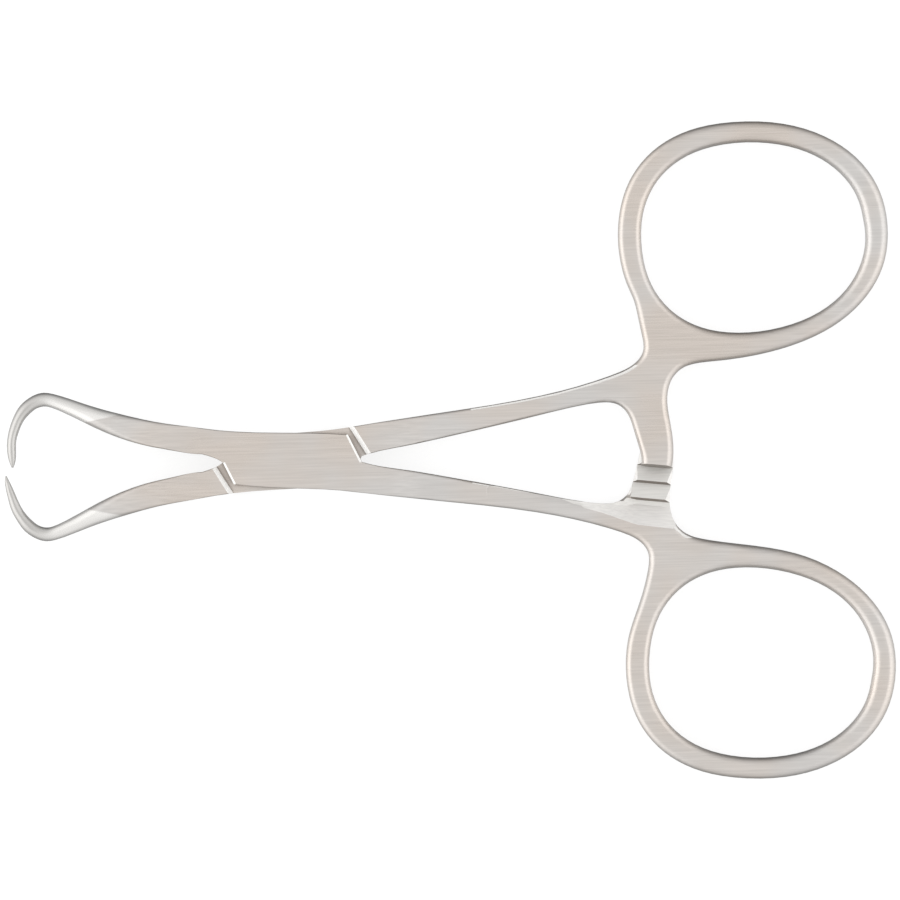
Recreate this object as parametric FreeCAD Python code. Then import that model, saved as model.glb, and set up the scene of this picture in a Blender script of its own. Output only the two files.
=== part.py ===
import FreeCAD, Part
import math
import os

# Small towel clamp with sharp curved jaws, a box lock, a ratchet and finger rings.
# Millimetres. The origin is on the pivot's axis, in the plane of the box's underside.
# +X runs to the finger rings, +Z is up. Both halves are drawn in one half frame, the
# female half's own: jaw above the X axis, shank and ring below it. The male half is its
# mirror image, bar the box lock, the teeth's side and the last of its point.

# Box lock
BOX_THICKNESS = 3.6
TONGUE_THICKNESS = 1.5
TONGUE_GAP = 0.05           # running gap on each face of the tongue
PLATE_REACH = 6.2           # pivot to the slanted end edges of the plates
PLATE_SLANT = 64.5          # slant of those edges to the X axis, degrees
MORTISE_GAP = 0.15          # end of the tongue to the mortise's end wall
SHOULDER_REACH = 7.1        # pivot to the tongue's shoulders
SHOULDER_SLANT = 59.0       # slant of the shoulders, degrees
SHOULDER_BEVEL = 0.45       # width of the ground bevel along each shoulder
SHOULDER_BEVEL_DEPTH = 0.6
PLATE_BEVEL = 0.2           # ground edge of the plates' slanted ends
BOX_RISE = 2.8              # pivot to the box's upper edge
BOX_FLAT = 8.6              # pivot to where the ground flat of the box ends
JAW_ROOT = 9.0              # pivot to where the jaw leaves the box

# Rivet through the box lock
PIN_DIAMETER = 1.9
PIN_HEAD_DIAMETER = 2.2     # flush ends, hammered into countersinks
PIN_HEAD_DEPTH = 0.3
PIN_RUNNING_GAP = 0.03      # all round, in the tongue's bore

# Shank, ratchet arm and finger ring
SHANK_THICKNESS = 2.9       # also of the arm and the ring
SHANK_LEVEL = 14.0          # pivot to where the faces have come down to that
ARM_X = 36.4                # pivot to the middle of the ratchet arm
ARM_WIDTH = 3.0
ARM_OVERLAP = 1.25          # arm's reach past the X axis, at its broad face
FEMALE_RING = (46.39, -21.40, -5.7)     # middle x, y and tilt in degrees
MALE_RING = (46.66, -21.23, -3.3)
RING_HOLE_LENGTH = 22.4
RING_HOLE_WIDTH = 18.9
RIM_LENGTH = 26.9           # outside of the ring
RIM_WIDTH = 23.15
RING_SQUARENESS = 2.22      # exponent of the ovals: 2 is an ellipse
RING_EGG = 0.06             # how much wider the hole is on the shank's side
RIM_EGG = 0.09              # the same for the outside
RIM_TILT = -2.6             # tilt of the outside against the hole, degrees

# Ratchet
TOOTH_PITCH = 1.75
TOOTH_DEPTH = 0.55
FEMALE_CREST = -4.74        # last crest before the ring
MALE_CREST = -4.01
CREST_GAP = 0.05            # between the crests of the two arms
TOOTH_RAKE = 0.25           # lean of a tooth's steep face over its depth
TOOTH_SLANT = -6.5          # run of the teeth and of the arms' ends to the X axis, degrees
TOOTH_BEVEL = 0.5           # bevel of the teeth's ends, at the crests
BEVEL_FOOT = 0.05           # height over the teeth's feet where the bevel fades out
ARM_END_LEAN = 0.35         # lean of the arm's end face, out of its broad face
# Milled floor beside the teeth: x, y of its end, depth, length of its climb to the face
RUN_OUT = [
    (40.4, -8.1, 2.025, 2.1),
    (34.4, -7.25, 2.025, 2.1),
    (31.4, -6.15, 1.0, 1.05),
    (28.4, -5.3, 0.42, 0.75),
    (25.4, -4.9, 0.22, 0.95),
    (22.4, -4.6, 0.12, 1.2),
    (19.4, -4.3, 0.05, 1.4),
]
NEAR_SLOPE = 0.25           # how the floor's near side opens out along the shank
RUN_OUT_LIFT = 0.3          # part of the climb and depth by which the slope runs on

# Edge rounding: radius along the clamp, by distance from the pivot
BOX_ROUNDING = 0.12
ROUNDING = [(BOX_FLAT, BOX_ROUNDING), (SHANK_LEVEL, 0.3), (28.0, 0.42), (ARM_X - 2.4, 0.6),
            (ARM_X + 4.5, 0.72)]
ROUND_STEPS = 3             # flats that make up a rounding
CUTTER_WIDTH = 1.2          # how far the edge cutters reach off the wall
STATION_SPACING = 1.7       # between the sections of an edge cutter
CUTTER_OVERRUN = 0.3        # how far the cutters' first flat runs on past the broad face
CUTTER_RISE = 0.5           # cutters' height over the broad faces, off the wall
BLANK_EXTRA = 0.7           # stock outside the finished walls

# Jaw sections from the box to the hook: outer edge x, y, inner edge x, y, thickness and
# rounding. The last section of each list of points is the point itself.
JAW_BODY = [
    (-11.3, 3.84, -11.7, 1.29, 3.45, 0.16),
    (-13.6, 4.24, -14.2, 1.80, 3.15, 0.26),
    (-16.1, 4.85, -16.8, 2.58, 2.70, 0.45),
    (-18.5, 5.52, -19.2, 3.60, 2.25, 0.70),
    (-21.0, 6.36, -21.6, 4.84, 1.80, 0.74),
    (-23.4, 7.20, -23.8, 5.88, 1.50, 0.65),
    (-24.7, 7.42, -24.6, 6.05, 1.40, 0.67),
    (-25.8, 7.10, -25.3, 5.90, 1.35, 0.64),
    (-26.8, 6.40, -25.9, 5.50, 1.30, 0.62),
    (-27.5, 5.46, -26.6, 4.78, 1.20, 0.56),
]
FEMALE_POINT = [
    (-28.07, 4.13, -27.14, 3.74, 1.06, 0.49),
    (-28.37, 2.90, -27.46, 2.76, 0.95, 0.45),
    (-28.42, 1.65, -27.52, 1.70, 0.86, 0.42),
    (-28.20, 0.50, -27.64, 0.50, 0.54, 0.26),
    (-28.02, 0.02, -27.82, 0.02, 0.20, 0.09),
]
MALE_POINT = [
    (-28.05, 4.45, -27.10, 4.05, 1.06, 0.49),
    (-28.40, 3.30, -27.55, 3.05, 0.92, 0.42),
    (-28.62, 2.25, -27.92, 2.10, 0.76, 0.35),
    (-28.72, 1.30, -28.32, 1.22, 0.44, 0.20),
    (-28.67, 0.84, -28.52, 0.80, 0.16, 0.07),
]

# Values worked out from those above
MID = BOX_THICKNESS / 2
SLOT_HALF = TONGUE_THICKNESS / 2 + TONGUE_GAP
SHANK_TOP = MID + SHANK_THICKNESS / 2
SHANK_BOTTOM = MID - SHANK_THICKNESS / 2
TOOTH_TOP = MID - CREST_GAP / 2
TOOTH_FOOT = TOOTH_TOP - TOOTH_DEPTH
FAR = 100.0


def vec(x, y, z=0.0):
    """Return a point or direction."""
    return FreeCAD.Vector(x, y, z)


def directions(points, closed):
    """Return the run of a smooth line at each of its points, from their neighbours."""
    runs = []
    last = len(points) - 1
    for i, point in enumerate(points):
        if closed or 0 < i < last:
            back = point - points[i - 1]
            ahead = points[(i + 1) % len(points)] - point
            run = back * (ahead.Length / back.Length) + ahead * (back.Length / ahead.Length)
            runs.append(run.normalize())
        else:
            runs.append(None)
    if not closed:
        for end, inner in ((0, 1), (last, last - 1)):
            chord = (points[inner] - points[end]).normalize()
            runs[end] = chord * (2 * chord.dot(runs[inner])) - runs[inner]
    return runs


def line(start, end):
    """Return a straight edge between two plan points."""
    return Part.makeLine(vec(*start), vec(*end))


def prism(edges, low, high):
    """Return the solid over a closed outline, between two heights."""
    face = Part.Face(Part.Wire(edges))
    face.translate(vec(0, 0, low))
    return face.extrude(vec(0, 0, high - low))


def polygon_prism(points, low, high):
    """Return the solid over a straight-sided outline."""
    corners = points + points[:1]
    return prism([line(a, b) for a, b in zip(corners, corners[1:])], low, high)


def on_plate_edge(y, side):
    """Return the point at height y on the slanted edge of a plate: side -1 jaw, 1 shank."""
    slant = math.radians(PLATE_SLANT)
    return (side * (PLATE_REACH - side * y * math.cos(slant)) / math.sin(slant), y)


def oval(ring, length, width, egg, angles):
    """Return plan points round one of the ring's ovals, at angles of its formula."""
    middle_x, middle_y, degrees = ring
    tilt = math.radians(degrees)
    power = 2 / RING_SQUARENESS
    points = []
    for angle in angles:
        turn = math.radians(angle)
        along = abs(math.cos(turn)) ** power * math.copysign(1, math.cos(turn))
        across = abs(math.sin(turn)) ** power * math.copysign(1, math.sin(turn))
        u = length / 2 * along
        v = width / 2 * across * (1 - egg * along)
        points.append((middle_x + u * math.cos(tilt) - v * math.sin(tilt),
                       middle_y + u * math.sin(tilt) + v * math.cos(tilt)))
    return points


def upper_run():
    """Return plan points along the box's upper edge, from the jaw's root."""
    return [(-JAW_ROOT, BOX_RISE + 0.69), (-6.6, BOX_RISE + 0.36), (-4.2, BOX_RISE + 0.16),
            (0.0, BOX_RISE), on_plate_edge(BOX_RISE - 0.33, 1)]


def inner_run():
    """Return plan points along the shank's inner edge and up the arm to its end."""
    left = ARM_X - ARM_WIDTH / 2
    return [on_plate_edge(-0.29, 1), (BOX_FLAT, -0.72), (11.3, -1.18), (SHANK_LEVEL, -1.68),
            (18.8, -2.65), (25.0, -3.97), (30.0, -4.95), (31.4, -5.05), (32.6, -4.85),
            (33.4, -4.3), (left - 0.95, -3.1), (left - 0.35, -1.2), (left - 0.05, 0.2),
            (left, ARM_OVERLAP)]


def outer_run(ring):
    """Return plan points down the arm, round the ring and back along the shank."""
    left = ARM_X - ARM_WIDTH / 2
    right = ARM_X + ARM_WIDTH / 2
    middle_x, middle_y, tilt = ring
    rim = (middle_x, middle_y, tilt + RIM_TILT)
    return ([(right + 0.1, ARM_OVERLAP), (right + 0.25, -0.6), (right, -2.9),
             (right - 0.25, -5.1), (right + 0.05, -6.7), (right + 0.75, -7.85),
             (right + 2.0, -8.55), (middle_x - 4.4, middle_y + 12.35)]
            + oval(rim, RIM_LENGTH, RIM_WIDTH, RIM_EGG, range(80, -187, -19))
            + [(middle_x - 12.35, middle_y + 5.4), (middle_x - 11.8, middle_y + 6.9),
               (left + 0.12, middle_y + 8.3), (left + 0.45, middle_y + 9.7),
               (left + 0.55, -10.6), (left + 0.3, -9.6), (left - 0.25, -8.98),
               (left - 1.1, -8.42), (32.3, -7.8), (26.8, -6.25), (18.8, -4.9),
               (SHANK_LEVEL, -4.3),
               (11.3, -3.95), (BOX_FLAT, -3.6), (4.0, -3.0), (0.0, -2.75),
               on_plate_edge(-BOX_RISE + 0.6, -1)])


def crotch_run():
    """Return plan points of the jaw's inner edge, from the plate to the jaw's root."""
    return [on_plate_edge(-0.02, -1), (-7.2, 0.4), (-7.9, 0.68), (-JAW_ROOT, 0.9)]


def along_plate(run, end, side):
    """Return where stock beside a run's end meets the line of a plate's slanted edge."""
    points = [vec(*point) for point in run]
    away = directions(points, False)[end]
    stock = points[end] + vec(-away.y, away.x) * BLANK_EXTRA
    return on_plate_edge(stock.y, side)


def beside(run):
    """Return the run's plan points moved off into the stock."""
    points = [vec(*point) for point in run]
    return [(p.x - d.y * BLANK_EXTRA, p.y + d.x * BLANK_EXTRA)
            for p, d in zip(points, directions(points, False))]


def half_at(x):
    """Return half the thickness at a place along the clamp."""
    t = min(1, max(0, (x - BOX_FLAT) / (SHANK_LEVEL - BOX_FLAT)))
    return (BOX_THICKNESS + (SHANK_THICKNESS - BOX_THICKNESS) * t * t * (3 - 2 * t)) / 2


def side_slab(far):
    """All between the two broad faces: flat over the box, easing down to the shank."""
    start = -2 * JAW_ROOT
    third = (SHANK_LEVEL - BOX_FLAT) / 3
    edges = []
    for sign in (1, -1):
        box_z = MID + sign * BOX_THICKNESS / 2
        shank_z = MID + sign * SHANK_THICKNESS / 2
        ease = Part.BezierCurve()
        ease.setPoles([vec(BOX_FLAT, 0, box_z), vec(BOX_FLAT + third, 0, box_z),
                       vec(SHANK_LEVEL - third, 0, shank_z), vec(SHANK_LEVEL, 0, shank_z)])
        edges += [Part.makeLine(vec(start, 0, box_z), vec(BOX_FLAT, 0, box_z)),
                  ease.toShape(),
                  Part.makeLine(vec(SHANK_LEVEL, 0, shank_z), vec(far, 0, shank_z))]
    ends = [Part.makeLine(vec(x, 0, MID - t / 2), vec(x, 0, MID + t / 2))
            for x, t in ((start, BOX_THICKNESS), (far, SHANK_THICKNESS))]
    face = Part.Face(Part.Wire(Part.__sortEdges__(edges + ends)))
    face.translate(vec(0, -FAR, 0))
    return face.extrude(vec(0, 2 * FAR, 0))


def rounding_at(x):
    """Return the radius of the long edges at a place along the clamp."""
    if x <= ROUNDING[0][0]:
        return ROUNDING[0][1]
    for (x0, r0), (x1, r1) in zip(ROUNDING, ROUNDING[1:]):
        if x <= x1:
            return r0 + (r1 - r0) * (x - x0) / (x1 - x0)
    return ROUNDING[-1][1]


def rounded_corner(rounding):
    """Return a rounded corner's points as distances in from its two faces."""
    turns = [math.radians(90 * step / ROUND_STEPS) for step in range(ROUND_STEPS + 1)]
    return [(rounding * (1 - math.sin(a)), rounding * (1 - math.cos(a))) for a in turns]


def cutter_section(place, outward, half, rounding):
    """Return an edge cutter's outline: past the flat, down the rounding, wall and back out."""
    corner = rounded_corner(rounding)
    overrun = CUTTER_OVERRUN / math.hypot(corner[0][0] - corner[1][0], corner[1][1])
    first = (corner[0][0] + overrun * (corner[0][0] - corner[1][0]), -overrun * corner[1][1])
    top = [first] + corner[1:]
    half_outline = [(inset, half - drop) for inset, drop in top]
    points = half_outline + [(inset, -up) for inset, up in reversed(half_outline)]
    points += [(-CUTTER_WIDTH, -half - CUTTER_RISE), (-CUTTER_WIDTH, half + CUTTER_RISE)]
    corners = [place - outward * inset + vec(0, 0, MID + up) for inset, up in points]
    return Part.makePolygon(corners + corners[:1])


def edge_cutter(run, closed=False):
    """Return the cutter that shapes wall and rounded edges along a run."""
    path = Part.BSplineCurve()
    path.interpolate([vec(*point) for point in run], PeriodicFlag=closed)
    edge = path.toShape()
    count = round(edge.Length / STATION_SPACING)
    places = edge.discretize(count + 1)
    ways = [path.tangent(path.parameter(place))[0] for place in places]
    if closed:
        places.pop()
        ways.pop()
    else:
        places = [places[0] - ways[0] * STATION_SPACING, *places,
                  places[-1] + ways[-1] * STATION_SPACING]
        ways = [ways[0], *ways, ways[-1]]
    sections = [cutter_section(place, vec(-way.y, way.x), half_at(place.x), rounding_at(place.x))
                for place, way in zip(places, ways)]
    return Part.makeLoft(sections, True, False, closed)


def slanted(y, x, slant):
    """Return how far up a line through the arm's middle at y is at x."""
    return y + (x - ARM_X) * math.tan(math.radians(slant))


def half_blank(ring, slant):
    """Box, shank, arm and ring, with walls and rounded edges cut by the edge cutters."""
    arm_end = ARM_OVERLAP + ARM_END_LEAN
    hole = oval(ring, RING_HOLE_LENGTH, RING_HOLE_WIDTH, RING_EGG, range(0, 360, 20))
    upper = upper_run()
    inner = inner_run()
    outer = outer_run(ring)
    crotch = crotch_run()
    inner_stock = beside(inner)
    outer_stock = beside(outer)
    crotch_stock = beside(crotch)
    stock = (beside(upper)[:-1] + [along_plate(upper, -1, 1), along_plate(inner, 0, 1)]
             + inner_stock[1:-1] + [(x, slanted(arm_end, x, slant))
                                    for x in (inner_stock[-1][0], outer_stock[0][0])]
             + outer_stock[1:-1] + [along_plate(outer, -1, -1), along_plate(crotch, 0, -1)]
             + crotch_stock[1:])
    stock[0] = (-JAW_ROOT, stock[0][1])
    stock[-1] = (-JAW_ROOT, stock[-1][1])
    plate = box_band(PLATE_REACH, PLATE_SLANT, -BOX_THICKNESS, 2 * BOX_THICKNESS)
    cutters = [edge_cutter(upper), edge_cutter(inner).cut(plate), edge_cutter(outer),
               edge_cutter(crotch).cut(plate), edge_cutter(hole, True)]
    core = oval(ring, RING_HOLE_LENGTH - 2 * BLANK_EXTRA, RING_HOLE_WIDTH - 2 * BLANK_EXTRA,
                RING_EGG, range(0, 360, 10))
    solid = polygon_prism(stock, 0, BOX_THICKNESS).common(side_slab(ring[0] + RING_HOLE_LENGTH))
    return solid.cut(polygon_prism(core, 0, BOX_THICKNESS)).cut(cutters).Solids[0]


def jaw_section(outer_x, outer_y, inner_x, inner_y, thickness, rounding):
    """Return the corners of one jaw section, a rectangle with rounded edges."""
    outer = vec(outer_x, outer_y, MID)
    inner = vec(inner_x, inner_y, MID)
    across = (inner - outer).normalize()
    half_width = (inner - outer).Length / 2
    half_height = thickness / 2
    middle = (outer + inner) * 0.5
    corner = rounded_corner(rounding)
    points = []
    for side, up in ((1, 1), (-1, 1), (-1, -1), (1, -1)):
        turned = corner[::-1] if side == up else corner
        points += [middle + across * (side * (half_width - a)) + vec(0, 0, up * (half_height - b))
                   for a, b in turned]
    return points


def jaw(blank, point):
    """Grow the jaw out of the box's own end face, round off to a hook and draw to a point."""
    root = min(blank.Faces, key=lambda face: face.CenterOfMass.x)
    corners = [vertex.Point for vertex in root.Vertexes]
    nominal = jaw_section(*upper_run()[0], *crotch_run()[-1], BOX_THICKNESS, BOX_ROUNDING)
    sections = [[min(corners, key=spot.distanceToPoint) for spot in nominal]]
    sections += [jaw_section(*row) for row in JAW_BODY + point]
    return Part.makeLoft([Part.makePolygon(s + s[:1]) for s in sections], True, False)


def box_band(reach, slant, low, high):
    """Return a slab across the box between two slanted end walls, mirrored by its sign."""
    angle = math.radians(abs(slant))
    normal = vec(math.sin(angle), math.copysign(math.cos(angle), slant))
    along = vec(-normal.y, normal.x)
    corners = [normal * (a * reach) + along * (b * reach * 2)
               for a, b in ((-1, -1), (1, -1), (1, 1), (-1, 1))]
    return polygon_prism([(c.x, c.y) for c in corners], low, high)


def cheek_cut():
    """Return the cut over the tongue's top face, bevelled along both shoulders."""
    angle = math.radians(SHOULDER_SLANT)
    normal = vec(math.sin(angle), math.cos(angle))
    along = vec(-normal.y, normal.x)
    wall = SHOULDER_REACH - SHOULDER_BEVEL
    side = [(wall, MID + TONGUE_THICKNESS / 2), (wall, BOX_THICKNESS - SHOULDER_BEVEL_DEPTH),
            (SHOULDER_REACH + SHOULDER_BEVEL, BOX_THICKNESS + SHOULDER_BEVEL_DEPTH)]
    outline = side + [(-reach, z) for reach, z in reversed(side)]
    corners = [normal * reach + vec(0, 0, z) - along * SHOULDER_REACH * 2
               for reach, z in outline + outline[:1]]
    return Part.Face(Part.makePolygon(corners)).extrude(along * SHOULDER_REACH * 4)


def turned_over(shape):
    """Return the shape as seen from below, mirrored in the middle plane."""
    return shape.mirror(vec(0, 0, MID), vec(0, 0, 1))


def pin():
    """Rivet with ends spread flush into countersinks."""
    shaft = PIN_DIAMETER / 2
    head = PIN_HEAD_DIAMETER / 2
    rise = PIN_HEAD_DEPTH
    outline = [vec(0, 0, 0), vec(head, 0, 0), vec(shaft, 0, rise),
               vec(shaft, 0, BOX_THICKNESS - rise), vec(head, 0, BOX_THICKNESS),
               vec(0, 0, BOX_THICKNESS), vec(0, 0, 0)]
    return Part.Face(Part.makePolygon(outline)).revolve(vec(0, 0, 0), vec(0, 0, 1), 360)


def across_arm(outline, y, slant):
    """Return the cut with an outline of y, z points, right across the arm, slanted at y."""
    corners = [vec(-2 * ARM_WIDTH, spot_y - y, z) for spot_y, z in outline + outline[:1]]
    cut = Part.Face(Part.makePolygon(corners)).extrude(vec(4 * ARM_WIDTH, 0, 0))
    cut.rotate(vec(0, 0), vec(0, 0, 1), slant)
    return cut.translate(vec(ARM_X, y))


def saw_cut(crest, slant):
    """Return the cut over one arm's teeth, teeth up, from its last crest to past its end."""
    last = crest
    outline = [(last, BOX_THICKNESS), (last, TOOTH_TOP)]
    while last < ARM_OVERLAP + ARM_END_LEAN:
        last += TOOTH_PITCH
        outline += [(last - TOOTH_RAKE, TOOTH_FOOT), (last, TOOTH_TOP)]
    outline.append((last, BOX_THICKNESS))
    return across_arm(outline, crest, slant)


def arm_end_cut(slant):
    """Return the cut that leans one arm's end face, teeth up."""
    far = ARM_OVERLAP + ARM_WIDTH
    outline = [(ARM_OVERLAP - ARM_END_LEAN, SHANK_BOTTOM - MID), (ARM_OVERLAP + ARM_END_LEAN, MID),
               (ARM_OVERLAP + ARM_END_LEAN, BOX_THICKNESS), (far, BOX_THICKNESS),
               (far, SHANK_BOTTOM - MID)]
    return across_arm(outline, ARM_OVERLAP, slant)


def tooth_bevels(ring):
    """Return the cuts that bevel the teeth's ends along both walls of the arm, teeth up."""
    cuts = []
    high = TOOTH_DEPTH + CREST_GAP
    for side, wall in ((-1, inner_run()[-6:]), (1, outer_run(ring)[3::-1])):
        wall.append((wall[-1][0], wall[-1][1] + ARM_WIDTH))
        spots = [(0, TOOTH_FOOT + BEVEL_FOOT), (-side * TOOTH_BEVEL * high / TOOTH_DEPTH,
                                                TOOTH_FOOT + BEVEL_FOOT + high),
                 (side * TOOTH_BEVEL, TOOTH_FOOT + BEVEL_FOOT + high),
                 (side * TOOTH_BEVEL, TOOTH_FOOT + BEVEL_FOOT)]
        sections = [Part.makePolygon([vec(x + out, y, z) for out, z in spots + spots[:1]])
                    for x, y in wall]
        cuts.append(Part.makeLoft(sections, True, True))
    return cuts


def run_out_section(crest, slant, x, end, depth, climb):
    """Return the outline of the milled floor's cut at one place along the clamp."""
    floor = SHANK_TOP - depth
    past = max(0, RUN_OUT[1][0] - x)
    near = slanted(crest, x + past, slant) + NEAR_SLOPE * past
    spots = [(near - TOOTH_RAKE, floor), (end + climb, floor),
             (end - RUN_OUT_LIFT * climb, SHANK_TOP + RUN_OUT_LIFT * depth),
             (end, SHANK_TOP + 2 * MID), (near + TOOTH_DEPTH, SHANK_TOP + 2 * MID),
             (near, floor + TOOTH_DEPTH)]
    corners = [vec(x, y, z) for y, z in spots]
    return Part.makePolygon(corners + corners[:1])


def run_out_cuts(crest, slant):
    """Return the cuts beside the last tooth: the floor, and where it fades out on the shank."""
    sections = [run_out_section(crest, slant, *row) for row in RUN_OUT]
    return [Part.makeLoft(sections[:2], True, True), Part.makeLoft(sections[1:], True, False)]


def plate_bevel(side):
    """Return the cut that bevels the slanted end edge of the top plate: side -1 jaw, 1 shank."""
    run = inner_run() if side > 0 else crotch_run()
    corner = vec(*run[0])
    slant = math.radians(PLATE_SLANT)
    outward = vec(math.sin(slant), math.cos(slant)) * side
    along = vec(-math.cos(slant), math.sin(slant)) * side
    spots = [(-2 * PLATE_BEVEL, PLATE_BEVEL), (PLATE_BEVEL, -2 * PLATE_BEVEL),
             (PLATE_BEVEL, PLATE_BEVEL)]
    corners = [corner + outward * reach + vec(0, 0, BOX_THICKNESS + up)
               for reach, up in spots + spots[:1]]
    return Part.Face(Part.makePolygon(corners)).extrude(along * 2 * BOX_RISE)


def female_half():
    """Half with the box: slotted for the tongue, drilled for the pin, teeth on top."""
    blank = half_blank(FEMALE_RING, TOOTH_SLANT)
    half = blank.fuse(jaw(blank, FEMALE_POINT)).removeSplitter()
    slot = box_band(PLATE_REACH + MORTISE_GAP, -PLATE_SLANT, MID - SLOT_HALF, MID + SLOT_HALF)
    edges = [plate_bevel(-1), plate_bevel(1)]
    edges += [turned_over(edge) for edge in edges]
    half = half.cut([slot, pin(), saw_cut(FEMALE_CREST, TOOTH_SLANT), arm_end_cut(TOOTH_SLANT)])
    half = half.cut(run_out_cuts(FEMALE_CREST, TOOTH_SLANT)).cut(tooth_bevels(FEMALE_RING))
    return half.cut(edges).Solids[0]


def male_half():
    """Half with the tongue: shouldered on both faces, bored for the pin, teeth below."""
    blank = half_blank(MALE_RING, -TOOTH_SLANT)
    half = blank.fuse(jaw(blank, MALE_POINT)).removeSplitter()
    arm_cuts = [saw_cut(MALE_CREST, -TOOTH_SLANT), arm_end_cut(-TOOTH_SLANT)]
    half = half.cut([turned_over(cut) for cut in arm_cuts])
    half = half.cut([turned_over(cut) for cut in run_out_cuts(MALE_CREST, -TOOTH_SLANT)])
    half = half.cut([turned_over(cut) for cut in tooth_bevels(MALE_RING)])
    half = half.mirror(vec(0, 0), vec(0, 1))
    bore = Part.makeCylinder(PIN_DIAMETER / 2 + PIN_RUNNING_GAP, BOX_THICKNESS)
    return half.cut([cheek_cut(), turned_over(cheek_cut()), bore]).Solids[0]


def main():
    """Write one file per piece."""
    os.makedirs("parts", exist_ok=True)
    for name, solid in (("female_half", female_half()),
                        ("male_half", male_half()),
                        ("box_lock_pin", pin())):
        solid.exportStep("parts/" + name + ".step")


main()
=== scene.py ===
import logging
import math
from dataclasses import dataclass, field
from enum import Enum
from typing import Any, ClassVar

import bpy
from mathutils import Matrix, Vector

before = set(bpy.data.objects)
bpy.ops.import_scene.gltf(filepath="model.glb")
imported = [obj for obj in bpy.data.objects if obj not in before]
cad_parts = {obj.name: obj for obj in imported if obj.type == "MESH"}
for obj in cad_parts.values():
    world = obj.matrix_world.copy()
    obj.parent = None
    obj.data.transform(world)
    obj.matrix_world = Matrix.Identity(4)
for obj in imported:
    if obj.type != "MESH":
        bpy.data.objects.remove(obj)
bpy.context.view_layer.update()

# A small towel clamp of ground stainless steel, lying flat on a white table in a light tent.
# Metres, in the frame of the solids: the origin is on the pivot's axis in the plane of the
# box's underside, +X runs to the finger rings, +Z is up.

MM = 0.001
log = logging.getLogger("towel_clamp")

Colour = tuple[float, float, float, float]
Inputs = dict[int | str, Any]
WHITE: Colour = (1.0, 1.0, 1.0, 1.0)


def linear(hex_colour: str) -> Colour:
    """Turn an sRGB hex colour into the linear colour that a shader takes.

    Args:
        hex_colour: Six hex digits after a hash sign.

    Returns:
        Linear red, green and blue, and an alpha of 1.
    """
    channels = [int(hex_colour[i:i + 2], 16) / 255 for i in (1, 3, 5)]
    red, green, blue = (c / 12.92 if c <= 0.04045 else ((c + 0.055) / 1.055) ** 2.4
                        for c in channels)
    return red, green, blue, 1.0


def add(tree: bpy.types.NodeTree, kind: str, inputs: Inputs | None = None,
        **settings: Any) -> bpy.types.Node:
    """Add a node with its settings and links.

    Args:
        tree: Node tree that the node goes into.
        kind: Blender's name for the node's type.
        inputs: Input names or numbers, each with a value or with a socket to link from.
        settings: Properties of the node itself.

    Returns:
        The new node.
    """
    node = tree.nodes.new(kind)
    for name, value in settings.items():
        setattr(node, name, value)
    for key, value in (inputs or {}).items():
        if isinstance(value, bpy.types.NodeSocket):
            tree.links.new(value, node.inputs[key])
        else:
            node.inputs[key].default_value = value
    return node


class NodeName(Enum):
    """The solids that the clamp is made of."""

    FEMALE = "female_half"
    MALE = "male_half"
    PIN = "box_lock_pin"


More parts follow.
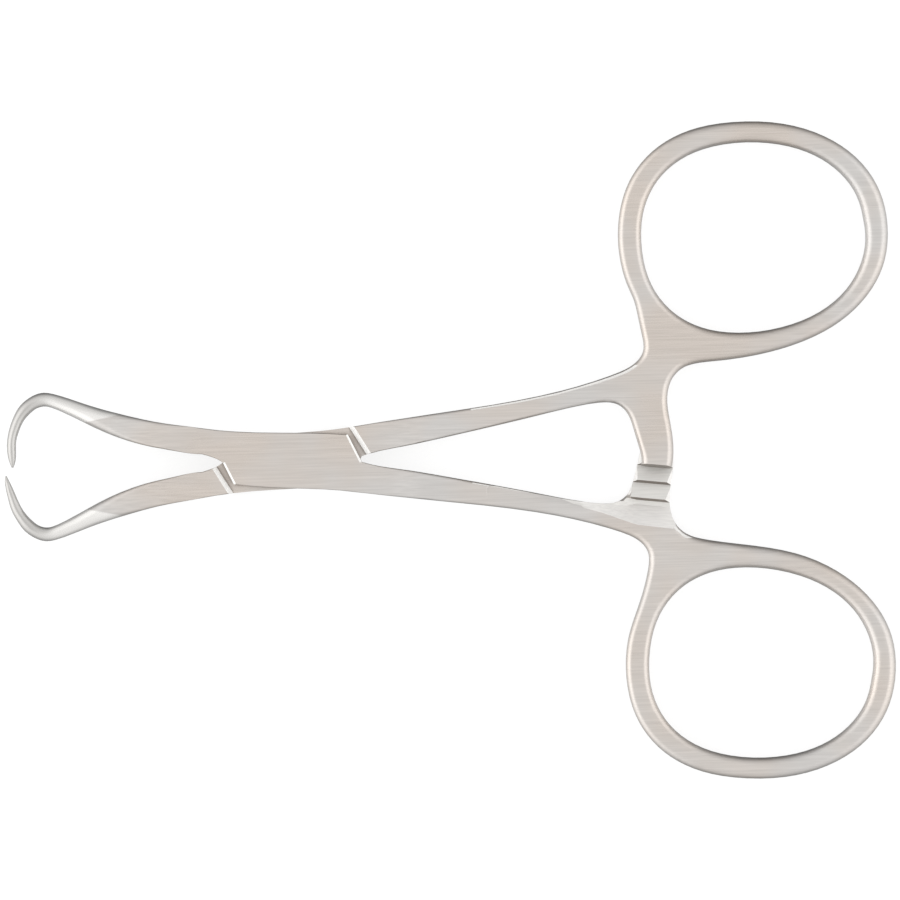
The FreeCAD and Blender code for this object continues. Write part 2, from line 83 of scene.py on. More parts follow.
@dataclass(frozen=True)
class SatinGroundStainless:
    """Hardened martensitic stainless steel, forged, belt ground and satin finished.

    Fine lines along the clamp spread the light, so the flats look silky and warm grey, while
    the rounded jaws, hand finished on a soft wheel, keep softer and brighter highlights.
    """

    name: str = "satin_ground_stainless"

    # Colours of the belt-ground flats, of the zones that another tool finished and of worn
    # edges, with painted highlights on slopes and bevels and painted shade in recesses.
    steel_warm: str = "#CFC6BE"
    steel_cool: str = "#CCC9C6"
    hook_colour: str = "#EAE8E5"
    point_colour: str = "#BDBBB8"
    milled_colour: str = "#D9D7D3"
    # Painted highlight on the milled slopes, brighter than the level milled faces.
    slope_highlight_colour: str = "#F3F1EE"
    # Painted highlight on the box lock's bevels that face the ends.
    bevel_highlight_colour: str = "#F8F7F5"
    edge_colour: str = "#EDEBE8"
    # Painted shade in sheltered recesses, deep in the box lock's slot and on the steep sawn
    # faces.
    recess_shade_colour: str = "#6E645C"

    # How dull and how metallic each zone is, and what lines and patches add to the dullness.
    roughness: float = 0.3
    hook_roughness: float = 0.22
    milled_roughness: float = 0.5
    bevel_roughness: float = 0.85
    uneven_range: tuple[float, float] = (0.3, 1.7)
    uneven_roughness: tuple[float, float] = (-0.05, 0.06)
    milled_metal: float = 0.35
    bevel_metal: float = 0.2

    # Grinding lines: length and spacing across and in depth, height, noise, shade.
    line_size: tuple[float, float, float] = (7.0 * MM, 0.16 * MM, 0.16 * MM)
    line_depth: float = 0.004 * MM
    line_strength: float = 0.35
    line_detail: float = 4.0
    line_roughness: float = 0.62
    line_range: tuple[float, float] = (0.3, 0.7)
    line_shade: tuple[float, float] = (0.9, 1.05)

    # Patches: size, noise, and the part of the noise that shows.
    cloud_size: float = 9.0 * MM
    cloud_detail: float = 2.0
    cloud_roughness: float = 0.5
    cloud_range: tuple[float, float] = (0.35, 0.65)

    # Hooks: a point of the slanted line that they start from, its slope and its fade; points.
    hook_line: tuple[float, float] = (-17.3 * MM, 5.0 * MM)
    hook_slope: float = 4.94
    hook_fade: float = 0.5 * MM
    hook_limit: float = -12.0 * MM
    point_start: float = -23.5 * MM
    point_end: float = -26.5 * MM

    # Milled faces: where they are, how far the slopes lean, and what counts as level for the
    # painted highlight on the slopes.
    milled_start: float = 18.0 * MM
    middle_height: float = 1.8 * MM
    milled_band: float = 1.15 * MM
    milled_side: float = 8.7 * MM
    milled_lean: float = 0.3
    level_range: tuple[float, float] = (0.78, 0.93)

    # Steep sawn faces: middle and half size of their place, limits of their normals, strength of
    # their painted shade.
    teeth: tuple[float, float] = (36.4 * MM, 0.0)
    teeth_reach: tuple[float, float] = (2.6 * MM, 5.3 * MM)
    steep_rise: float = 0.6
    steep_aside: float = 0.5
    steep_shade_strength: float = 0.75

    # Box lock: place and tilt of its bevels, each with what it may differ by, and its slot; the
    # bevels get a painted highlight and the slot painted shade.
    bevel_place: tuple[float, float] = (7.0 * MM, 2.2 * MM)
    bevel_tilt: tuple[float, float] = (0.65, 0.12)
    bevel_endwise: float = 0.45
    slot_band: float = 0.8 * MM
    slot_reach: float = 12.0 * MM
    slot_shade: float = 1.5 * MM
    slot_range: tuple[float, float] = (0.6, 0.25)
    slot_shade_strength: float = 0.9

    # Edges: radius in the light by zone, none beside the pin, and wear.
    edge_radius: float = 0.03 * MM
    ring_radius: float = 0.25 * MM
    hook_radius: float = 0.2 * MM
    ring_start: float = 8.0 * MM
    ring_end: float = 11.0 * MM
    pin_clear: float = 2.0 * MM
    edge_samples: int = 6
    edge_range: tuple[float, float] = (0.99, 0.8)
    edge_wear: float = 0.5

    # Painted shade in narrow recesses.
    recess_reach: float = 0.4 * MM
    recess_range: tuple[float, float] = (0.6, 0.15)
    recess_shade_strength: float = 0.6
    shelter_samples: int = 8

    def material(self) -> bpy.types.Material:
        """Build the material.

        Returns:
            The finished material, for any piece of the clamp.
        """
        material = bpy.data.materials.new(self.name)
        material.use_nodes = True
        tree = material.node_tree
        tree.nodes.clear()
        coords = add(tree, "ShaderNodeTexCoord")
        lines = self.grind_lines(tree, coords)
        clouds = self.clouds(tree, coords)
        place = add(tree, "ShaderNodeSeparateXYZ", {"Vector": coords.outputs["Object"]})
        facing = add(tree, "ShaderNodeSeparateXYZ", {"Vector": coords.outputs["Normal"]})
        side = add(tree, "ShaderNodeMath", {0: place.outputs["Y"]},
                   operation="ABSOLUTE").outputs[0]
        hook = self.hooks(tree, place, side)
        milled = self.milled_faces(tree, facing, place, side)
        steep = self.steep_faces(tree, facing, place, side)
        bevel = self.bevels(tree, facing, place)
        slot = self.slot_faces(tree, place)
        edge_normal, edge = self.edges(tree, hook, side, place)
        milled_tone_and_highlight = self.milled_tone_and_highlight(tree, facing)
        ground = self.ground_colour(tree, lines, clouds, hook, milled, milled_tone_and_highlight, place)
        # Wear on the edges, painted shade in sheltered places and a painted highlight on the
        # bevels.
        colour = self.colour_with_wear_shade_and_highlight(tree, ground, bevel, slot, steep, edge)
        rough = self.rough(tree, lines, clouds, hook, milled, bevel)
        bump = add(tree, "ShaderNodeBump", {"Height": lines, "Strength": self.line_strength,
                                            "Distance": self.line_depth, "Normal": edge_normal})
        # Milled and bevelled faces scatter light as chalk does, so they count as less metallic.
        metal = self.slide(tree, milled, 1.0, self.milled_metal)
        metal = self.slide(tree, bevel, metal, self.bevel_metal)
        surface = add(tree, "ShaderNodeBsdfPrincipled",
                      {"Base Color": colour, "Metallic": metal, "Roughness": rough,
                       "Normal": bump.outputs["Normal"]})
        add(tree, "ShaderNodeOutputMaterial", {"Surface": surface.outputs["BSDF"]})
        return material

    def grind_lines(self, tree: bpy.types.NodeTree,
                    coords: bpy.types.Node) -> bpy.types.NodeSocket:
        """Draw the grinding lines.

        The real lines of a fine belt are about 0.03 mm apart, too fine to show at this size,
        so they are drawn five times coarser.

        Args:
            tree: Material's node tree.
            coords: Texture coordinate node.

        Returns:
            Height of the lines, from 0 to 1.
        """
        lines_per_metre = tuple(1 / size for size in self.line_size)
        stretched = add(tree, "ShaderNodeMapping", {"Vector": coords.outputs["Object"],
                                                    "Scale": lines_per_metre})
        noise = add(tree, "ShaderNodeTexNoise",
                    {"Vector": stretched.outputs["Vector"], "Scale": 1.0,
                     "Detail": self.line_detail, "Roughness": self.line_roughness})
        return noise.outputs["Fac"]

    def clouds(self, tree: bpy.types.NodeTree, coords: bpy.types.Node) -> bpy.types.NodeSocket:
        """Draw the faint patches that hand pressure on the belt leaves.

        Args:
            tree: Material's node tree.
            coords: Texture coordinate node.

        Returns:
            Strength of the patches, from 0 to 1.
        """
        noise = add(tree, "ShaderNodeTexNoise",
                    {"Vector": coords.outputs["Object"], "Scale": 1 / self.cloud_size,
                     "Detail": self.cloud_detail, "Roughness": self.cloud_roughness})
        low, high = self.cloud_range
        spread = add(tree, "ShaderNodeMapRange", {"Value": noise.outputs["Fac"],
                                                  "From Min": low, "From Max": high})
        return spread.outputs["Result"]

    def hooks(self, tree: bpy.types.NodeTree, place: bpy.types.Node,
              side: bpy.types.NodeSocket) -> bpy.types.NodeSocket:
        """Tell the wheel-finished hooks from the ground flats, which end in a slanted tip.

        Args:
            tree: Material's node tree.
            place: Separated object coordinates.
            side: Distance from the clamp's middle line.

        Returns:
            Mask of the jaws' hooks.
        """
        line_x, line_y = self.hook_line
        rise = add(tree, "ShaderNodeMath", {0: side, 1: -self.hook_slope,
                                            2: self.hook_slope * line_y - line_x},
                   operation="MULTIPLY_ADD")
        past = add(tree, "ShaderNodeMath", {0: place.outputs["X"], 1: rise.outputs[0]},
                   operation="ADD")
        tip = add(tree, "ShaderNodeMapRange",
                  {"Value": past.outputs[0], "From Min": self.hook_fade,
                   "From Max": -self.hook_fade}, interpolation_type="SMOOTHSTEP")
        ahead = add(tree, "ShaderNodeMath", {0: place.outputs["X"], 1: self.hook_limit},
                    operation="LESS_THAN")
        bent = add(tree, "ShaderNodeMath", {0: tip.outputs["Result"], 1: ahead.outputs[0]},
                   operation="MULTIPLY")
        return add(tree, "ShaderNodeMath", {0: bent.outputs[0], 1: self.points(tree, place)},
                   operation="MAXIMUM").outputs[0]

    def points(self, tree: bpy.types.NodeTree, place: bpy.types.Node) -> bpy.types.NodeSocket:
        """Tell the points of the jaws, ground once more and therefore a little duller.

        Args:
            tree: Material's node tree.
            place: Separated object coordinates.

        Returns:
            Mask of the points.
        """
        return add(tree, "ShaderNodeMapRange",
                   {"Value": place.outputs["X"], "From Min": self.point_start,
                    "From Max": self.point_end},
                   interpolation_type="SMOOTHSTEP").outputs["Result"]

    def milled_faces(self, tree: bpy.types.NodeTree, facing: bpy.types.Node,
                     place: bpy.types.Node, side: bpy.types.NodeSocket
                     ) -> bpy.types.NodeSocket:
        """Tell the teeth and the milled floor beside them from the ground flats.

        Args:
            tree: Material's node tree.
            facing: Separated normal.
            place: Separated object coordinates.
            side: Distance from the clamp's middle line.

        Returns:
            Mask of the milled faces.
        """
        inside = add(tree, "ShaderNodeMath", {0: place.outputs["Z"], 1: self.middle_height,
                                              2: self.milled_band}, operation="COMPARE")
        lean = add(tree, "ShaderNodeMath", {0: facing.outputs["Y"], 1: facing.outputs["Z"]},
                   operation="MULTIPLY")
        slope = add(tree, "ShaderNodeMath", {0: lean.outputs[0], 1: self.milled_lean},
                    operation="GREATER_THAN")
        cut = add(tree, "ShaderNodeMath", {0: inside.outputs[0], 1: slope.outputs[0]},
                  operation="MAXIMUM")
        upright = add(tree, "ShaderNodeMath", {0: facing.outputs["Z"], 1: 0.0,
                                               2: self.steep_rise}, operation="COMPARE")
        lying = add(tree, "ShaderNodeMath", {0: 1.0, 1: upright.outputs[0]},
                    operation="SUBTRACT")
        beyond = add(tree, "ShaderNodeMath", {0: place.outputs["X"], 1: self.milled_start},
                     operation="GREATER_THAN")
        near = add(tree, "ShaderNodeMath", {0: side, 1: self.milled_side},
                   operation="LESS_THAN")
        return self.all_of(tree, cut, lying, beyond, near)

    def bevels(self, tree: bpy.types.NodeTree, facing: bpy.types.Node,
               place: bpy.types.Node) -> bpy.types.NodeSocket:
        """Tell the ground bevels of the box lock's plates and shoulders, which get a painted
        highlight.

        Args:
            tree: Material's node tree.
            facing: Separated normal.
            place: Separated object coordinates.

        Returns:
            Mask of the bevels.
        """
        flat = add(tree, "ShaderNodeMath", {0: facing.outputs["Z"]}, operation="ABSOLUTE")
        tilted = add(tree, "ShaderNodeMath", {0: flat.outputs[0], 1: self.bevel_tilt[0],
                                              2: self.bevel_tilt[1]}, operation="COMPARE")
        along = add(tree, "ShaderNodeMath", {0: facing.outputs["X"]}, operation="ABSOLUTE")
        endwise = add(tree, "ShaderNodeMath", {0: along.outputs[0], 1: self.bevel_endwise},
                      operation="GREATER_THAN")
        reach = add(tree, "ShaderNodeMath", {0: place.outputs["X"]}, operation="ABSOLUTE")
        near = add(tree, "ShaderNodeMath", {0: reach.outputs[0], 1: self.bevel_place[0],
                                            2: self.bevel_place[1]}, operation="COMPARE")
        return self.all_of(tree, tilted, endwise, near)

    def slot_faces(self, tree: bpy.types.NodeTree, place: bpy.types.Node
                   ) -> bpy.types.NodeSocket:
        """Tell the faces deep in the box lock, which get painted shade.

        Args:
            tree: Material's node tree.
            place: Separated object coordinates.

        Returns:
            Mask of the deep faces.
        """
        deep = add(tree, "ShaderNodeMath", {0: place.outputs["Z"], 1: self.middle_height,
                                            2: self.slot_band}, operation="COMPARE")
        near = add(tree, "ShaderNodeMath", {0: place.outputs["X"], 1: 0.0,
                                            2: self.slot_reach}, operation="COMPARE")
        return self.all_of(tree, deep, near)

    @staticmethod
    def all_of(tree: bpy.types.NodeTree, first: bpy.types.Node,
               *others: bpy.types.Node) -> bpy.types.NodeSocket:
        """Multiply masks.

        Args:
            tree: Material's node tree.
            first: Node of the first mask.
            others: Nodes of the other masks.

        Returns:
            Mask where all of them hold.
        """
        mask = first.outputs[0]
        for other in others:
            mask = add(tree, "ShaderNodeMath", {0: mask, 1: other.outputs[0]},
                       operation="MULTIPLY").outputs[0]
        return mask

    def steep_faces(self, tree: bpy.types.NodeTree, facing: bpy.types.Node,
                    place: bpy.types.Node, side: bpy.types.NodeSocket
                    ) -> bpy.types.NodeSocket:
        """Tell the steep sawn faces of the teeth and of the arms' ends, which get painted shade.

        Args:
            tree: Material's node tree.
            facing: Separated normal.
            place: Separated object coordinates.
            side: Distance from the clamp's middle line.

        Returns:
            Mask of the steep faces.
        """
        steep = add(tree, "ShaderNodeMath", {0: facing.outputs["Z"], 1: 0.0,
                                             2: self.steep_rise}, operation="COMPARE")
        aside = add(tree, "ShaderNodeMath", {0: facing.outputs["X"], 1: 0.0,
                                             2: self.steep_aside}, operation="COMPARE")
        near_x = add(tree, "ShaderNodeMath", {0: place.outputs["X"], 1: self.teeth[0],
                                              2: self.teeth_reach[0]}, operation="COMPARE")
        near_y = add(tree, "ShaderNodeMath", {0: side, 1: self.teeth[1],
                                              2: self.teeth_reach[1]}, operation="COMPARE")
        return self.all_of(tree, steep, aside, near_x, near_y)

    def edges(self, tree: bpy.types.NodeTree, hook: bpy.types.NodeSocket,
              side: bpy.types.NodeSocket, place: bpy.types.Node
              ) -> tuple[bpy.types.NodeSocket, bpy.types.NodeSocket]:
        """Round the edges in the light, most on rings and hooks, and find them for wear.

        Args:
            tree: Material's node tree.
            hook: Mask of the jaws' hooks.
            side: Distance from the clamp's middle line.
            place: Separated object coordinates.

        Returns:
            Rounded normal and mask of the edges.
        """
        ring = add(tree, "ShaderNodeMapRange",
                   {"Value": side, "From Min": self.ring_start, "From Max": self.ring_end,
                    "To Min": self.edge_radius, "To Max": self.ring_radius},
                   interpolation_type="SMOOTHSTEP")
        radius = self.slide(tree, hook, ring.outputs["Result"], self.hook_radius)
        away = add(tree, "ShaderNodeMath", {0: place.outputs["X"]}, operation="ABSOLUTE")
        clear = add(tree, "ShaderNodeMath", {0: away.outputs[0], 1: self.pin_clear},
                    operation="GREATER_THAN")
        radius = add(tree, "ShaderNodeMath", {0: radius, 1: clear.outputs[0]},
                     operation="MULTIPLY").outputs[0]
        rounded = add(tree, "ShaderNodeBevel", {"Radius": radius}, samples=self.edge_samples)
        flat = add(tree, "ShaderNodeNewGeometry")
        match = add(tree, "ShaderNodeVectorMath", {0: rounded.outputs["Normal"],
                                                   1: flat.outputs["Normal"]},
                    operation="DOT_PRODUCT")
        unworn, worn = self.edge_range
        wear = add(tree, "ShaderNodeMapRange", {"Value": match.outputs["Value"],
                                                "From Min": unworn, "From Max": worn})
        return rounded.outputs["Normal"], wear.outputs["Result"]

    def milled_tone_and_highlight(self, tree: bpy.types.NodeTree,
                    facing: bpy.types.Node) -> bpy.types.NodeSocket:
        """Colour the cutter's finish, with a painted highlight on the slopes: the more a face
        leans, the brighter.

        Args:
            tree: Material's node tree.
            facing: Separated normal.

        Returns:
            Colour of the milled faces.
        """
        flat = add(tree, "ShaderNodeMath", {0: facing.outputs["Z"]}, operation="ABSOLUTE")
        sloping, lying = self.level_range
        level = add(tree, "ShaderNodeMapRange", {"Value": flat.outputs[0],
                                                 "From Min": sloping, "From Max": lying})
        # Painted highlight: the more a milled face leans, the brighter its colour.
        return self.blend(tree, level.outputs["Result"], linear(self.slope_highlight_colour),
                          linear(self.milled_colour))

    def ground_colour(self, tree: bpy.types.NodeTree, lines: bpy.types.NodeSocket,
                      clouds: bpy.types.NodeSocket, hook: bpy.types.NodeSocket,
                      milled: bpy.types.NodeSocket, milled_tone_and_highlight: bpy.types.NodeSocket,
                      place: bpy.types.Node) -> bpy.types.NodeSocket:
        """Mix the steel's colour from its patches, zones and grinding lines.

        Args:
            tree: Material's node tree.
            lines: Height of the grinding lines.
            clouds: Strength of the patches.
            hook: Mask of the jaws' hooks.
            milled: Mask of the milled faces.
            milled_tone_and_highlight: Colour of the milled faces.
            place: Separated object coordinates.

        Returns:
            Colour of the steel before wear.
        """
        steel = self.blend(tree, clouds, linear(self.steel_warm), linear(self.steel_cool))
        steel = self.blend(tree, milled, steel, milled_tone_and_highlight)
        low, high = self.line_range
        darkest, brightest = self.line_shade
        shade = add(tree, "ShaderNodeMapRange",
                    {"Value": lines, "From Min": low, "From Max": high,
                     "To Min": darkest, "To Max": brightest})
        lined = add(tree, "ShaderNodeVectorMath", {0: steel, "Scale": shade.outputs["Result"]},
                    operation="SCALE")
        wheeled = self.blend(tree, self.points(tree, place), linear(self.hook_colour),
                             linear(self.point_colour))
        return self.blend(tree, hook, lined.outputs[0], wheeled)

    def colour_with_wear_shade_and_highlight(self, tree: bpy.types.NodeTree, ground: bpy.types.NodeSocket,
                    bevel: bpy.types.NodeSocket, slot: bpy.types.NodeSocket,
                    steep: bpy.types.NodeSocket, edge: bpy.types.NodeSocket
                    ) -> bpy.types.NodeSocket:
        """Add bright worn edges, a painted highlight on the bevels, and painted shade in
        sheltered places, in the box lock's slot and on the steep sawn faces.

        Args:
            tree: Material's node tree.
            ground: Colour of the steel before wear.
            bevel: Mask of the box lock's bevels.
            slot: Mask of the faces deep in the box lock.
            steep: Mask of the steep sawn faces.
            edge: Mask of the worn edges.

        Returns:
            Colour of the steel.
        """
        worn = add(tree, "ShaderNodeMath", {0: edge, 1: self.edge_wear}, operation="MULTIPLY")
        steel = self.blend(tree, worn.outputs[0], ground, linear(self.edge_colour))
        # Painted shade: sheltered places, the box lock's slot and the steep sawn faces darken
        # towards the recess colour.
        recess = self.sheltered_shade(tree, self.recess_reach, self.recess_range, self.recess_shade_strength)
        lock = self.sheltered_shade(tree, self.slot_shade, self.slot_range, self.slot_shade_strength)
        recess_and_slot_shade = add(tree, "ShaderNodeMath", {0: slot, 1: lock, 2: recess},
                     operation="MULTIPLY_ADD", use_clamp=True)
        dark = add(tree, "ShaderNodeMath", {0: steep, 1: self.steep_shade_strength,
                                            2: recess_and_slot_shade.outputs[0]},
                   operation="MULTIPLY_ADD", use_clamp=True)
        steel = self.blend(tree, dark.outputs[0], steel, linear(self.recess_shade_colour))
        # Painted highlight: the bevels that face the ends turn almost white.
        return self.blend(tree, bevel, steel, linear(self.bevel_highlight_colour))

    def sheltered_shade(self, tree: bpy.types.NodeTree, reach: float, openness: tuple[float, float],
             most: float) -> bpy.types.NodeSocket:
        """Work out the painted shade in sheltered places, from how much open air they see.

        Args:
            tree: Material's node tree.
            reach: How far away faces still shelter a place.
            openness: Share of open air where the shade starts, and where it is full.
            most: Strength of the full shade.

        Returns:
            Strength of the shade.
        """
        air = add(tree, "ShaderNodeAmbientOcclusion", {"Distance": reach},
                  samples=self.shelter_samples)
        start, full = openness
        return add(tree, "ShaderNodeMapRange",
                   {"Value": air.outputs["AO"], "From Min": start, "From Max": full,
                    "To Max": most}).outputs["Result"]

    def rough(self, tree: bpy.types.NodeTree, lines: bpy.types.NodeSocket,
              clouds: bpy.types.NodeSocket, hook: bpy.types.NodeSocket,
              milled: bpy.types.NodeSocket, bevel: bpy.types.NodeSocket
              ) -> bpy.types.NodeSocket:
        """Work out the roughness of each zone, varied by lines and patches.

        Args:
            tree: Material's node tree.
            lines: Height of the grinding lines.
            clouds: Strength of the patches.
            hook: Mask of the jaws' hooks.
            milled: Mask of the milled faces.
            bevel: Mask of the box lock's bevels.

        Returns:
            Roughness of the steel.
        """
        value = self.slide(tree, hook, self.roughness, self.hook_roughness)
        value = self.slide(tree, milled, value, self.milled_roughness)
        value = self.slide(tree, bevel, value, self.bevel_roughness)
        uneven = add(tree, "ShaderNodeMath", {0: lines, 1: clouds}, operation="ADD")
        low, high = self.uneven_range
        smoothest, dullest = self.uneven_roughness
        scaled = add(tree, "ShaderNodeMapRange",
                     {"Value": uneven.outputs[0], "From Min": low, "From Max": high,
                      "To Min": smoothest, "To Max": dullest})
        return add(tree, "ShaderNodeMath", {0: value, 1: scaled.outputs["Result"]},
                   operation="ADD").outputs[0]

    @staticmethod
    def blend(tree: bpy.types.NodeTree, factor: Any, first: Any,
              second: Any) -> bpy.types.NodeSocket:
        """Mix two colours.

        Args:
            tree: Material's node tree.
            factor: How much of the second colour shows.
            first: First colour or its socket.
            second: Second colour or its socket.

        Returns:
            Mixed colour.
        """
        mix = add(tree, "ShaderNodeMix", {0: factor, 6: first, 7: second}, data_type="RGBA")
        return mix.outputs[2]

    @staticmethod
    def slide(tree: bpy.types.NodeTree, factor: Any, first: Any,
              second: Any) -> bpy.types.NodeSocket:
        """Mix two numbers.

        Args:
            tree: Material's node tree.
            factor: How much of the second number counts.
            first: First number or its socket.
            second: Second number or its socket.

        Returns:
            Mixed number.
        """
        mix = add(tree, "ShaderNodeMix", {0: factor, 2: first, 3: second}, data_type="FLOAT")
        return mix.outputs[0]


@dataclass(frozen=True)
class MattWhiteAcrylic:
    """White acrylic sheet of a light table, sanded matt: almost pure white, hardly shaded."""

    name: str = "matt_white_acrylic"
    colour: str = "#F4F4F4"
    roughness: float = 0.8
    glow: float = 1.12
    glow_share: float = 0.72

    def material(self) -> bpy.types.Material:
        """Build the material: white with faint shadows, and the steel sees the tent through it.

        Returns:
            The finished material.
        """
        material = bpy.data.materials.new(self.name)
        material.use_nodes = True
        tree = material.node_tree
        tree.nodes.clear()
        ray = add(tree, "ShaderNodeLightPath")
        share = add(tree, "ShaderNodeMath", {0: ray.outputs["Is Camera Ray"],
                                             1: self.glow_share}, operation="MULTIPLY")
        matt = add(tree, "ShaderNodeBsdfPrincipled", {"Base Color": linear(self.colour),
                                                      "Roughness": self.roughness})
        glow = add(tree, "ShaderNodeEmission", {"Color": WHITE, "Strength": self.glow})
        mix = add(tree, "ShaderNodeMixShader", {0: share.outputs[0], 1: matt.outputs["BSDF"],
                                                2: glow.outputs["Emission"]})
        clear = add(tree, "ShaderNodeBsdfTransparent")
        sheet = add(tree, "ShaderNodeMixShader", {0: ray.outputs["Is Glossy Ray"],
                                                  1: mix.outputs["Shader"],
                                                  2: clear.outputs["BSDF"]})
        add(tree, "ShaderNodeOutputMaterial", {"Surface": sheet.outputs["Shader"]})
        return material


@dataclass
class ForgedPart:
    """One solid of the clamp: its rounded edges smoothed and its steel put on."""

    node: NodeName
    finish: SatinGroundStainless = field(default_factory=SatinGroundStainless)
    weld_distance: float = 0.002 * MM
    smooth_angle: float = math.radians(32)
    flat_weight: int = 100

    groups: ClassVar[dict[float, bpy.types.NodeTree]] = {}
    finishes: ClassVar[dict[str, bpy.types.Material]] = {}

    def build(self) -> bpy.types.Object:
        """Smooth and dress the solid.

        Returns:
            The solid's own object.
        """
        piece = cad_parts[self.node.value]
        self.smooth(piece)
        self.dress(piece)
        return piece

    def smooth(self, piece: bpy.types.Object) -> None:
        """Make the narrow flats of the rounded edges look round, and keep faces flat.

        Args:
            piece: Object of the solid.
        """
        rounding = piece.modifiers.new("round_edges", "NODES")
        rounding.node_group = self.smoothing_group()
        weighted = piece.modifiers.new("keep_flats", "WEIGHTED_NORMAL")
        weighted.mode = "FACE_AREA"
        weighted.weight = self.flat_weight
        weighted.keep_sharp = True

    def smoothing_group(self) -> bpy.types.NodeTree:
        """Build the modifier's nodes once: weld the faces and smooth the blunt edges.

        Returns:
            Node group for the modifier.
        """
        if self.smooth_angle in self.groups:
            return self.groups[self.smooth_angle]
        group = bpy.data.node_groups.new("round_edges", "GeometryNodeTree")
        group.interface.new_socket("Geometry", in_out="INPUT", socket_type="NodeSocketGeometry")
        group.interface.new_socket("Geometry", in_out="OUTPUT", socket_type="NodeSocketGeometry")
        source = add(group, "NodeGroupInput")
        weld = add(group, "GeometryNodeMergeByDistance", {"Geometry": source.outputs[0],
                                                          "Distance": self.weld_distance})
        angle = add(group, "GeometryNodeInputMeshEdgeAngle")
        blunt = add(group, "FunctionNodeCompare", {0: angle.outputs["Unsigned Angle"],
                                                   1: self.smooth_angle},
                    operation="LESS_EQUAL")
        faces = add(group, "GeometryNodeSetShadeSmooth", {"Geometry": weld.outputs["Geometry"],
                                                          "Shade Smooth": True}, domain="FACE")
        edges = add(group, "GeometryNodeSetShadeSmooth",
                    {"Geometry": faces.outputs["Geometry"],
                     "Shade Smooth": blunt.outputs["Result"]}, domain="EDGE")
        add(group, "NodeGroupOutput", {0: edges.outputs["Geometry"]})
        self.groups[self.smooth_angle] = group
        return group

    def dress(self, piece: bpy.types.Object) -> None:
        """Put the finish in every material slot of the piece.

        Args:
            piece: Object of the solid.
        """
        if self.finish.name not in self.finishes:
            self.finishes[self.finish.name] = self.finish.material()
        material = self.finishes[self.finish.name]
        if not piece.material_slots:
            piece.data.materials.append(material)
        for slot in piece.material_slots:
            slot.material = material


class TentWall(Enum):
    """Brightness of each wall of the tent, from below the table's edge up to the roof."""

    LEFT = (0.8, 1.0, 1.35, 1.75, 1.9, 1.6, 1.0)
    RIGHT = (0.7, 0.9, 1.2, 1.4, 1.6, 1.6, 1.0)
    AHEAD = (0.15, 0.22, 0.4, 0.6, 0.75, 0.85, 1.0)
    BEHIND = (0.3, 0.42, 0.65, 0.8, 0.9, 0.95, 1.0)


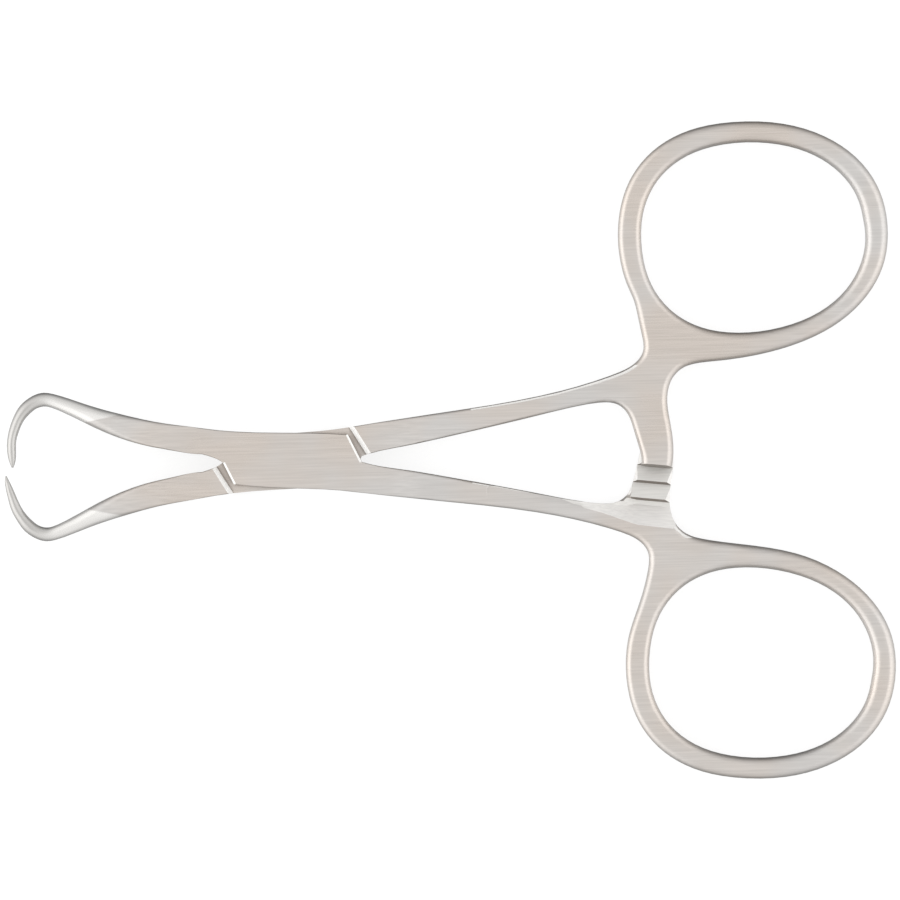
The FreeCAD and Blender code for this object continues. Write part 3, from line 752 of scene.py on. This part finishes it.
@dataclass
class LightTent:
    """White table in a soft tent: bright left and right, dimmer ahead and behind."""

    table_size: float = 3.0
    table_drop: float = 0.02 * MM
    heights: tuple[float, ...] = (-1.0, -0.5, -0.1, 0.25, 0.6, 0.82, 0.97)
    finish: MattWhiteAcrylic = field(default_factory=MattWhiteAcrylic)

    def build(self) -> None:
        """Build the table and the tent's light."""
        self.table()
        self.tent()

    def table(self) -> bpy.types.Object:
        """Lay the table under the clamp.

        Returns:
            The table.
        """
        half = self.table_size / 2
        corners = [(-half, -half), (half, -half), (half, half), (-half, half)]
        mesh = bpy.data.meshes.new("light_table")
        mesh.from_pydata([(x, y, -self.table_drop) for x, y in corners], [], [(0, 1, 2, 3)])
        mesh.materials.append(self.finish.material())
        table = bpy.data.objects.new("light_table", mesh)
        bpy.context.scene.collection.objects.link(table)
        return table

    def tent(self) -> None:
        """Paint the tent's soft walls and roof into the world, by direction."""
        world = bpy.data.worlds.new("light_tent")
        bpy.context.scene.world = world
        world.use_nodes = True
        tree = world.node_tree
        tree.nodes.clear()
        coords = add(tree, "ShaderNodeTexCoord")
        way = add(tree, "ShaderNodeSeparateXYZ", {"Vector": coords.outputs["Generated"]})
        sides = self.opposite_walls(tree, way, "X", TentWall.LEFT, TentWall.RIGHT)
        ends = self.opposite_walls(tree, way, "Y", TentWall.BEHIND, TentWall.AHEAD)
        across = add(tree, "ShaderNodeMath", {0: way.outputs["X"], 1: 2.0}, operation="POWER")
        ahead = add(tree, "ShaderNodeMath", {0: way.outputs["Y"], 1: 2.0}, operation="POWER")
        whole = add(tree, "ShaderNodeMath", {0: across.outputs[0], 1: ahead.outputs[0]},
                    operation="ADD")
        share = add(tree, "ShaderNodeMath", {0: across.outputs[0], 1: whole.outputs[0]},
                    operation="DIVIDE")
        level = add(tree, "ShaderNodeMix", {0: share.outputs[0], 2: ends, 3: sides},
                    data_type="FLOAT")
        ray = add(tree, "ShaderNodeLightPath")
        shown = add(tree, "ShaderNodeMix", {0: ray.outputs["Is Camera Ray"],
                                            2: level.outputs[0], 3: 1.0}, data_type="FLOAT")
        sky = add(tree, "ShaderNodeBackground", {"Color": WHITE,
                                                 "Strength": shown.outputs[0]})
        add(tree, "ShaderNodeOutputWorld", {"Surface": sky.outputs["Background"]})

    def opposite_walls(self, tree: bpy.types.NodeTree, way: bpy.types.Node, axis: str,
                       low: TentWall, high: TentWall) -> bpy.types.NodeSocket:
        """Join two opposite walls of the tent.

        Args:
            tree: World's node tree.
            way: Separated direction.
            axis: Axis that the walls stand across.
            low: Wall at the axis's negative end.
            high: Wall at its positive end.

        Returns:
            Brightness of the two walls by direction.
        """
        beyond = add(tree, "ShaderNodeMath", {0: way.outputs[axis], 1: 0.0},
                     operation="GREATER_THAN")
        return add(tree, "ShaderNodeMix", {0: beyond.outputs[0],
                                           2: self.wall_level(tree, way, low),
                                           3: self.wall_level(tree, way, high)},
                   data_type="FLOAT").outputs[0]

    def wall_level(self, tree: bpy.types.NodeTree, way: bpy.types.Node,
                   wall: TentWall) -> bpy.types.NodeSocket:
        """Work out one wall's brightness from the height of the direction.

        Args:
            tree: World's node tree.
            way: Separated direction.
            wall: Wall of the tent.

        Returns:
            Brightness of the wall by height.
        """
        level = wall.value[0]
        for low, high, start, end in zip(self.heights, self.heights[1:], wall.value,
                                         wall.value[1:]):
            step = add(tree, "ShaderNodeMapRange",
                       {"Value": way.outputs["Z"], "From Min": low, "From Max": high,
                        "To Min": 0.0, "To Max": end - start}, interpolation_type="SMOOTHSTEP")
            level = add(tree, "ShaderNodeMath", {0: level, 1: step.outputs["Result"]},
                        operation="ADD").outputs[0]
        return level


@dataclass
class OverheadCamera:
    """Camera straight above the clamp, with a long lens."""

    centre: tuple[float, float] = (15.838 * MM, 0.683 * MM)
    turn: float = math.radians(-1.44)
    distance: float = 1.2
    picture_width: float = 90.09 * MM
    sensor: float = 36.0
    nearest: float = 0.01

    def build(self) -> bpy.types.Object:
        """Set up the camera.

        Returns:
            The scene's camera.
        """
        data = bpy.data.cameras.new("overhead_camera")
        data.sensor_width = self.sensor
        data.lens = self.sensor * self.distance / self.picture_width
        data.clip_start = self.nearest
        camera = bpy.data.objects.new("overhead_camera", data)
        camera.location = Vector((*self.centre, self.distance))
        camera.rotation_euler = (0.0, 0.0, self.turn)
        bpy.context.scene.collection.objects.link(camera)
        bpy.context.scene.camera = camera
        return camera


def main() -> None:
    """Build the clamp, its table, light and camera, in order."""
    logging.basicConfig(level=logging.INFO, format="%(message)s")
    bpy.context.scene.view_settings.view_transform = "Standard"
    for node in NodeName:
        part = ForgedPart(node)
        log.info("dressed %s", part.build().name)
    LightTent().build()
    log.info("built the light tent")
    OverheadCamera().build()
    log.info("built the camera")


if __name__ == "__main__":
    main()
